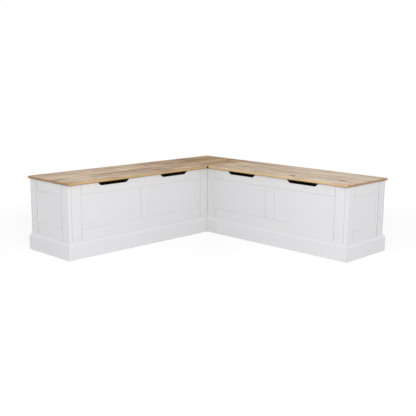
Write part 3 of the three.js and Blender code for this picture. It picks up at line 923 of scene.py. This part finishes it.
# The tint of the painted warm cast in the inside corner.
corner_warm_cast_chip = tint(255, 255, 252)
inside_corner = (0.372, 0.372)
corner_warm_cast_reach = (0.06, 0.17)
paint_relief = (0.00030, 0.8)


def make_painted(name, grain):
    material, tree, shader = new_material(name)
    place = seeded(tree, grain_place(tree, grain))
    figure = use_group(tree, pine_figure, place=place, board_width=0.9, seed=1.0, joint=0.0)
    paint = use_group(
        tree, brushed_paint, place=place, paint=paint_chip, primer=primer_chip,
        rings=figure["Rings"], edge=face_value(tree, "arris"), line=face_value(tree, "worn_line"),
        # Faces that look up get a painted highlight.
        thick=upward_slope(tree),
    )
    # A painted warm cast of light bounced into the inside corner.
    corner_warm_cast = near_upright(tree, inside_corner, *corner_warm_cast_reach)
    color = mixed(tree, corner_warm_cast, paint["Color"], corner_warm_cast_chip, "MULTIPLY")
    shade(tree, shader, color, paint["Roughness"], paint["Height"], paint_relief)
    return material


painted = {grain: make_painted("painted_" + grain, grain) for grain in GRAIN_TURNS}
print("brushed paint ready")

# %% [markdown]
# The butt hinges and screws are solid brass that has been handled and aired for years: a
# warm metal, brushed along its length, with browner clouds of tarnish.

# %% Finish: aged brass
bright_chip = tint(214, 176, 104)
brushed_chip = tint(190, 148, 80)
tarnish_chip = tint(126, 94, 54)
handled_chip = tint(232, 200, 130)
brushed_share = 0.5
tarnish_share = 0.75
handled_share = 0.5
brushed_noise = ((90.0, 2600.0, 2600.0), 2.0, 0.5)
tarnish_noise = ((55.0, 75.0, 75.0), 4.0, 0.65)
tarnish_limits = (0.45, 0.75)
brass_roughness = 0.24
brushed_dullness = 0.12
tarnish_dullness = 0.22
brass_relief = (0.00002, 0.6)


def make_brass(name, grain):
    material, tree, shader = new_material(name)
    place = seeded(tree, grain_place(tree, grain))
    brushed = noise(tree, place, *brushed_noise)
    tarnish = soft_step(tree, noise(tree, place, *tarnish_noise), *tarnish_limits)
    metal = mixed(tree, product(tree, brushed, brushed_share), bright_chip, brushed_chip)
    metal = mixed(tree, product(tree, tarnish, tarnish_share), metal, tarnish_chip)
    handled = product(tree, face_value(tree, "arris"), handled_share)
    metal = mixed(tree, handled, metal, handled_chip)
    shader.inputs["Metallic"].default_value = 1.0
    dullness = weighted_sum(
        tree, brass_roughness, (brushed, brushed_dullness), (tarnish, tarnish_dullness),
    )
    shade(tree, shader, metal, dullness, brushed, brass_relief)
    return material


brass = {grain: make_brass("brass_" + grain, grain) for grain in LEVEL_GRAINS}
print("brass ready")

# %% [markdown]
# Sharp machine-cut edges look false, because light never catches them. A joiner takes the
# arris off every edge with sandpaper, and paint rounds it a little more. The frame's
# meshes are loose triangles, so a copy is welded, its flat faces are dissolved back into
# whole ones, and its sharp edges are bevelled. The new narrow faces are marked as arris,
# for the finishes to rub.
#
# A piece of a painted frame is eased only round the face that it shows. First its long
# upright edges get a narrow flat band, on which the paint carries a painted shade line,
# standing in for the shadow along the upright edges of the panels. How strongly depends on
# the piece: the band's mark, the arris's mark and the band's width are listed. The rails
# take the marks of the middle stile.

# %% Ease the edges of a piece
weld_distance = 0.01 * MM
flat_angle = math.radians(0.6)
sharp_angle = math.radians(28.0)
shortest_shade_line = 100.0 * MM
wood_segments = 2
round_profile = 0.5
square_profile = 1.0
same_direction = 0.99
front_facing = 0.9
nearly_level = 0.2
SHADE_LINES = {
    "outer_stile": {"band": 0.35, "arris": 0.8, "width": 2.0 * MM},
    "mid_stile": {"band": 0.45, "arris": 0.9, "width": 2.0 * MM},
    "inner_stile": {"band": 0.45, "arris": 0.9, "width": 2.0 * MM},
    "front_stile": {"band": 0.7, "arris": 1.0, "width": 2.0 * MM},
    "back_stile": {"band": 1.0, "arris": 1.0, "width": 4.0 * MM},
}


def welded_form(node):
    """A welded copy of a CAD node with whole flat faces, and its layer of arris marks."""
    form = bmesh.new()
    form.from_mesh(frame["nodes"][node].data)
    bmesh.ops.remove_doubles(form, verts=form.verts, dist=weld_distance)
    bmesh.ops.dissolve_limit(form, angle_limit=flat_angle, verts=form.verts, edges=form.edges)
    return form, form.faces.layers.float.new("arris")


def sharp_edges(form):
    inner = [edge for edge in form.edges if len(edge.link_faces) == 2]
    return [edge for edge in inner if edge.calc_face_angle(0.0) > sharp_angle]


def bevelled(form, edges, width, segments, profile=round_profile):
    """Bevels some edges and returns the new narrow faces. The square profile keeps the corner."""
    made = bmesh.ops.bevel(
        form, geom=edges, offset=width, offset_type="OFFSET", segments=segments,
        profile=profile, affect="EDGES", clamp_overlap=True, material=-1,
    )
    return made["faces"]


def eased_form(node, ease, segments):
    form, arris = welded_form(node)
    if ease > 0.0:
        for face in bevelled(form, sharp_edges(form), ease, segments):
            face[arris] = 1.0
    return form


def is_long_upright(edge):
    direction = (edge.verts[0].co - edge.verts[1].co).normalized()
    return abs(direction.z) > same_direction and edge.calc_length() > shortest_shade_line


def shown_face_edges(form, outward):
    """The sharp edges round the outermost flat face on the outward side."""
    reach = max(vert.co.dot(outward) for vert in form.verts)
    edges = set()
    for face in form.faces:
        behind = abs(face.calc_center_median().dot(outward) - reach)
        if face.normal.dot(outward) > same_direction and behind < weld_distance:
            edges.update(face.edges)
    return [edge for edge in sharp_edges(form) if edge in edges]


def frame_form(node, ease, outward, rubbed_and_shaded):
    """A painted frame piece: painted shade line on its long upright edges, eased round its face."""
    form, arris = welded_form(node)
    worn_and_shaded = form.faces.layers.float.new("worn_line")
    # The band and arris of each long upright edge carry the painted shade line.
    upright = [edge for edge in shown_face_edges(form, outward) if is_long_upright(edge)]
    if upright:
        for face in bevelled(form, upright, rubbed_and_shaded["width"], wood_segments, square_profile):
            if face.normal.dot(outward) > front_facing:
                face[worn_and_shaded] = rubbed_and_shaded["band"]
    for face in bevelled(form, shown_face_edges(form, outward), ease, wood_segments):
        face[arris] = 1.0
        face[worn_and_shaded] = rubbed_and_shaded["arris"] if abs(face.normal.z) < nearly_level else 0.0
    return form


# The pieces whose upright edges get a painted shade line.
print("rubbed bands for:", ", ".join(SHADE_LINES))

# %% [markdown]
# The eased form becomes an object with its materials. It gets its seed from a random
# generator that starts the same way each time. Faces that look into a storage box are given
# the second material of the piece, the bare pine. The sawn faces of a rail's finger cut-outs
# get the third, the near-black pine. Then the piece is attached to the body that it rides
# on, and the node of the frame that it stands for is hidden.

# %% Dress a piece
seeds = random.Random(11)
highest_seed = 20.0
even_shading_weight = 60
BOX_INSIDE = ((-0.7345, 0.3858, 0.099), (0.3315, 0.7445, 0.4339))
cut_out_depths = (0.5 * MM, 24.5 * MM)
sideways = 0.3


def body_of(node):
    return frame["nodes"][node]["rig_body"]


def side_of(node):
    return "right" if node.startswith(("right_", "corner_right")) else "left"


def swap_if(right, point):
    """The right arm is the left arm mirrored in the diagonal, so X and Y change places."""
    return Vector((point[1], point[0], point[2])) if right else Vector(point)


def finish_piece(name, form, body, materials):
    """Makes an object of a form, with its seed, smooth shading, body and materials."""
    seed_layer = form.faces.layers.float.new("piece_seed")
    seed = seeds.uniform(0.0, highest_seed)
    for edge in sharp_edges(form):
        edge.smooth = False
    for face in form.faces:
        face.smooth = True
        face[seed_layer] = seed
    mesh = bpy.data.meshes.new(name)
    form.to_mesh(mesh)
    form.free()
    for material in materials:
        mesh.materials.append(material)
    piece = bpy.data.objects.new(name, mesh)
    scene.collection.objects.link(piece)
    shading = piece.modifiers.new("even_shading", "WEIGHTED_NORMAL")
    shading.keep_sharp = True
    shading.weight = even_shading_weight
    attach(piece, body)
    return piece


def bare_inside(form, right):
    """Gives the faces that look into the storage box the second material of the piece."""
    lowest, highest = BOX_INSIDE
    for face in form.faces:
        place = swap_if(right, face.calc_center_median())
        if all(low <= value <= high for low, value, high in zip(lowest, place, highest)):
            face.material_index = 1


def darken_cut_outs(form, rail, outward):
    """Gives the sawn faces of a rail's finger cut-outs the third material of the piece."""
    rail_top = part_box(rail)[1][2]
    shallowest, deepest = cut_out_depths
    for face in form.faces:
        depth = rail_top - face.calc_center_median().z
        if shallowest < depth < deepest and abs(face.normal.dot(outward)) < sideways:
            face.material_index = 2


def dress(node, ease, materials, segments=wood_segments, outward=None):
    if outward:
        kind = "_".join(node.split("_")[-2:])
        form = frame_form(node, ease, outward, SHADE_LINES.get(kind, SHADE_LINES["mid_stile"]))
    else:
        form = eased_form(node, ease, segments)
    if len(materials) > 1:
        bare_inside(form, node.startswith("right_"))
    if len(materials) > 2:
        darken_cut_outs(form, node, outward)
    piece = finish_piece(node + "_piece", form, body_of(node), materials)
    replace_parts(piece, node)


print("box inside, left arm:", BOX_INSIDE)

# %% [markdown]
# Now the wooden pieces are dressed. The outer stiles get a wider easing, because the real
# bench shows a clear line where the end frame meets the front frame. The tops already have
# their round edges, so they are only given their material.

# %% Dress the wooden pieces
paint_ease = 0.8 * MM
stile_ease = 1.3 * MM
bare_ease = 1.0 * MM
ARM_GRAIN = {"left": "along_x", "right": "along_y"}
END_GRAIN = {"left": "along_y", "right": "along_x"}
OUTWARD = {
    ("front", "left"): Vector((0.0, -1.0, 0.0)), ("front", "right"): Vector((-1.0, 0.0, 0.0)),
    ("end", "left"): Vector((-1.0, 0.0, 0.0)), ("end", "right"): Vector((0.0, -1.0, 0.0)),
}
TOPS = {
    "corner_top": ("corner_pine_top", corner_pine),
    "left_lid": ("pine_lid", left_lid_pine),
    "right_lid": ("pine_lid", right_lid_pine),
}


def grain_of(node):
    if "stile" in node or "post" in node:
        return "along_z"
    across = "_end_" in node or "batten" in node
    return (END_GRAIN if across else ARM_GRAIN)[side_of(node)]


def dress_painted(node):
    grain = grain_of(node)
    ease = stile_ease if node.endswith(("outer_stile", "front_stile")) else paint_ease
    outward = None
    if "stile" in node or "_rail" in node:
        outward = OUTWARD["end" if "_end_" in node else "front", side_of(node)]
    materials = [painted[grain], bare_pine[grain]]
    if node.endswith("front_top_rail"):
        materials.append(near_black_cut[grain])
    dress(node, ease, materials, outward=outward)


not_here = ("hinge", "batten", "cleat")
wooden = [node for node in sorted(frame["nodes"]) if not any(word in node for word in not_here)]
for node in wooden:
    if node in TOPS:
        slot, pine = TOPS[node]
        dress(node, 0.0, [pine])
    elif "floor" in node:
        dress(node, bare_ease, [bare_pine[grain_of(node)]])
    else:
        dress_painted(node)
print("dressed", len(wooden), "wooden pieces")

# %% [markdown]
# A painter's brush fills the level joints, where paint runs in and sets as a small hollow
# bead: on the sills of the panels and along the top of the plinth. The upright joints stay
# open as fine lines. Each bead starts as one small outline that is extruded along its
# joint, and its ends are slanted where two runs meet at a corner.

# %% Paint in the level joints
bead_overlap = 0.2 * MM
plinth_bead = {"size": 2.5 * MM, "drop": 0.2 * MM}
sill_bead = {"size": 1.6 * MM, "drop": 0.6 * MM}
hollow_share = 0.36
panel_in_groove = 8.5 * MM
PAST, SHORT, SQUARE = 1.0, -1.0, 0.0


def lay_bead(form, start, end, outward, bead, meets):
    """A run of paint. meets says how its two ends meet: PAST or SHORT of the corner, or SQUARE."""
    along = (end - start).normalized()
    up = Vector((0.0, 0.0, 1.0))
    size, drop = bead["size"], bead["drop"]
    hollow = hollow_share * size
    outline = [
        (-bead_overlap, -drop), (size, -drop), (size, 0.0),
        (hollow, hollow), (0.0, size), (-bead_overlap, size),
    ]
    places = [start + outward * out + up * rise - along * (meets[0] * out) for out, rise in outline]
    first = form.faces.new([form.verts.new(place) for place in places])
    made = bmesh.ops.extrude_face_region(form, geom=[first])
    for vert in [item for item in made["geom"] if isinstance(item, bmesh.types.BMVert)]:
        out = (vert.co - start).dot(outward)
        vert.co += (end - start) + along * ((meets[0] + meets[1]) * out)


def box_of(node, right):
    """A node's box. For the right arm it is given as the left arm's would be."""
    return [swap_if(right, corner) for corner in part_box(node)]


def bead_runs(side):
    """The runs of paint on an arm's front and end: start, end, how they meet, and the bead."""
    right = side == "right"
    face_y = box_of(side + "_front_bottom_rail", right)[0].y
    face_x = box_of(side + "_end_bottom_rail", right)[0].x
    back_y = box_of(side + "_end_back_stile", right)[1].y
    plinth_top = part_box(side + "_front_plinth")[1][2]
    outer, inner = (face_x, face_y, plinth_top), (face_y, face_y, plinth_top)
    runs = {
        "front": [(outer, inner, (PAST, SHORT), plinth_bead)],
        "end": [((face_x, back_y, plinth_top), outer, (SQUARE, PAST), plinth_bead)],
    }
    for panel in ("front_outer_panel", "front_inner_panel", "end_panel"):
        low, high = box_of(side + "_" + panel, right)
        sill = low.z + panel_in_groove
        if panel == "end_panel":
            ends = (low.x, low.y + panel_in_groove, sill), (low.x, high.y - panel_in_groove, sill)
        else:
            ends = (low.x + panel_in_groove, low.y, sill), (high.x - panel_in_groove, low.y, sill)
        runs[panel.split("_")[0]].append((*ends, (SQUARE, SQUARE), sill_bead))
    return runs


def paint_joints(side):
    right = side == "right"
    for face, beads in bead_runs(side).items():
        form = bmesh.new()
        outward = OUTWARD[face, side]
        for start, end, meets, bead in beads:
            lay_bead(form, swap_if(right, start), swap_if(right, end), outward, bead, meets)
        bmesh.ops.recalc_face_normals(form, faces=form.faces)
        grain = (ARM_GRAIN if face == "front" else END_GRAIN)[side]
        name = side + "_" + face + "_joint_paint"
        finish_piece(name, form, body_of(side + "_end_panel"), [painted[grain]])


for side in ("left", "right"):
    paint_joints(side)
print("paint laid in the level joints, beads of", plinth_bead["size"], "and", sill_bead["size"])

# %% [markdown]
# Two workshop steps make the screws and their holes. Turning spins an outline round an
# axis, as a lathe does. Carving takes one form out of another, as a drill or a saw does.

# %% Turning and carving
turning_steps = 20


def turned(profile):
    """Spins (radius, height) points, which start and end on the axis, into a closed form."""
    form = bmesh.new()
    verts = [form.verts.new((radius, 0.0, height)) for radius, height in profile]
    edges = [form.edges.new(pair) for pair in zip(verts, verts[1:])]
    bmesh.ops.spin(
        form, geom=verts + edges, cent=(0.0, 0.0, 0.0), axis=(0.0, 0.0, 1.0), angle=2.0 * math.pi,
        steps=turning_steps, use_merge=True,
    )
    bmesh.ops.remove_doubles(form, verts=form.verts, dist=weld_distance)
    bmesh.ops.recalc_face_normals(form, faces=form.faces)
    return form


def as_mesh(name, form):
    """The form as a mesh. The form itself is given back."""
    mesh = bpy.data.meshes.new(name)
    form.to_mesh(mesh)
    form.free()
    return mesh


def carved(form, cutter):
    """The form with the cutter taken out of it, as a new form."""
    helpers = []
    for name, part in (("carved", form), ("cutter", cutter)):
        helpers.append(bpy.data.objects.new(name, as_mesh(name, part)))
        scene.collection.objects.link(helpers[-1])
    target, tool = helpers
    cut = target.modifiers.new("cut", "BOOLEAN")
    cut.operation = "DIFFERENCE"
    cut.solver = "EXACT"
    cut.object = tool
    done = target.evaluated_get(bpy.context.evaluated_depsgraph_get())
    result = bmesh.new()
    result.from_mesh(done.to_mesh())
    done.to_mesh_clear()
    for helper in helpers:
        mesh = helper.data
        bpy.data.objects.remove(helper)
        bpy.data.meshes.remove(mesh)
    return result


print("turned forms have", turning_steps, "sides")

# %% [markdown]
# The screws are slotted brass wood screws with countersunk heads. One master screw is
# turned from its outline, and its slot is carved. The same outline, a little larger, is the
# cutter that sinks the holes in the hinge leaves, battens and cleats.

# %% A slotted screw and its countersunk hole
hinge_screw = {"head": 3.2 * MM, "shank": 1.7 * MM, "sink": 0.15 * MM}
wood_screw = {"head": 4.2 * MM, "shank": 2.2 * MM, "sink": 0.5 * MM}
cone_height_share = 0.6
screw_length = 11.0 * MM
point_length = 2.0 * MM
slot_width_share = 0.3
slot_depth_share = 0.3
hole_margin = 0.15 * MM
hole_rise = 1.0 * MM


def screw_mesh(name, screw):
    head, shank = screw["head"], screw["shank"]
    form = turned([
        (0.0, 0.0), (head, 0.0), (shank, -cone_height_share * head),
        (shank, point_length - screw_length), (0.0, -screw_length),
    ])
    slot = bmesh.new()
    bmesh.ops.create_cube(slot, size=2.0)
    slot_size = (2.0 * head, slot_width_share * head / 2.0, slot_depth_share * head)
    bmesh.ops.scale(slot, vec=slot_size, verts=slot.verts)
    return as_mesh(name, carved(form, slot))


def hole_mesh(name, screw):
    """A countersink with its rim at height zero and a bore that goes right through."""
    rim = screw["head"] + hole_margin + screw["sink"] / cone_height_share
    bore = screw["shank"] + hole_margin
    bottom = -screw_length - hole_rise
    return as_mesh(name, turned([
        (0.0, hole_rise), (rim + hole_rise / cone_height_share, hole_rise),
        (bore, -cone_height_share * (rim - bore)), (bore, bottom), (0.0, bottom),
    ]))


def add_copy(form, mesh, matrix):
    before = len(form.verts)
    form.from_mesh(mesh)
    form.verts.ensure_lookup_table()
    bmesh.ops.transform(form, matrix=matrix, verts=form.verts[before:])


for screw, name in ((hinge_screw, "hinge_screw"), (wood_screw, "wood_screw")):
    screw["mesh"] = screw_mesh(name, screw)
    screw["hole"] = hole_mesh(name + "_hole", screw)
    print(name, "has", len(screw["mesh"].polygons), "faces")

# %% [markdown]
# Each hinge leaf is held by three screws, each batten by three from below into the lid, and
# each cleat by two from below into the corner top. A leaf's plate lies beside the hinge
# line, so the row of screws is found from the leaf's own box. The screws of one body are
# joined in one object.

# %% Dress the hinges, battens and cleats with their screws
leaf_plate_width = 15.0 * MM
half_leaf_gap = 0.15 * MM
leaf_screw_pitch = 26.0 * MM
batten_screw_pitch = 112.0 * MM
cleat_screw_share = 0.3
hinge_ease = 0.2 * MM
hinge_segments = 1
screws_of = {}


def head_turn(upwards):
    """A screw's turn: its head up or down, with its slot left at any angle."""
    flip = Matrix.Identity(4) if upwards else Matrix.Rotation(math.pi, 4, "X")
    return Matrix.Rotation(seeds.uniform(0.0, math.pi), 4, "Z") @ flip


def leaf_screw_places(node):
    """The row of screws in a hinge leaf. A fixed leaf shows its heads from above."""
    right = side_of(node) == "right"
    low, high = box_of(node, right)
    middle = (low + high) / 2.0
    fixed = "fixed" in node
    height = middle.z - half_leaf_gap if fixed else middle.z + half_leaf_gap
    across = low.y + leaf_plate_width / 2.0
    steps = [middle.x + step * leaf_screw_pitch for step in (-1, 0, 1)]
    return [swap_if(right, (along, across, height)) for along in steps], fixed


def wood_screw_places(node):
    """The row of screws in a batten or cleat, with their heads on its underside."""
    low, high = (Vector(corner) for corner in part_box(node))
    middle = (low + high) / 2.0
    size = high - low
    unit = Vector((1.0, 0.0, 0.0)) if size.x > size.y else Vector((0.0, 1.0, 0.0))
    steps = (-1, 0, 1) if "batten" in node else (-1, 1)
    pitch = batten_screw_pitch if "batten" in node else cleat_screw_share * max(size.x, size.y)
    base = Vector((middle.x, middle.y, low.z))
    return [base + unit * (step * pitch) for step in steps], False


def screw_down(node, form, screw):
    """Sinks the holes in a form and adds the screws to those of its body."""
    places, upwards = (leaf_screw_places if "leaf" in node else wood_screw_places)(node)
    cutter = bmesh.new()
    screws = screws_of.setdefault(body_of(node), bmesh.new())
    sink = Matrix.Translation((0.0, 0.0, -screw["sink"]))
    for place in places:
        seat = Matrix.Translation(place) @ head_turn(upwards)
        add_copy(cutter, screw["hole"], seat)
        add_copy(screws, screw["mesh"], seat @ sink)
    return carved(form, cutter)


def dress_screwed(node, ease, segments, material, screw):
    form = screw_down(node, eased_form(node, ease, segments), screw)
    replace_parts(finish_piece(node + "_piece", form, body_of(node), [material]), node)


for node in sorted(frame["nodes"]):
    metal = brass[ARM_GRAIN[side_of(node)]]
    if "leaf" in node:
        dress_screwed(node, hinge_ease, hinge_segments, metal, hinge_screw)
    elif "pin" in node:
        dress(node, hinge_ease, [metal], hinge_segments)
    elif "batten" in node or "cleat" in node:
        wood = bare_pine[grain_of(node)]
        dress_screwed(node, bare_ease, wood_segments, wood, wood_screw)
for body, form in screws_of.items():
    finish_piece(body + "_screws", form, body, [brass["along_x"]])
print("screws on", ", ".join(screws_of))
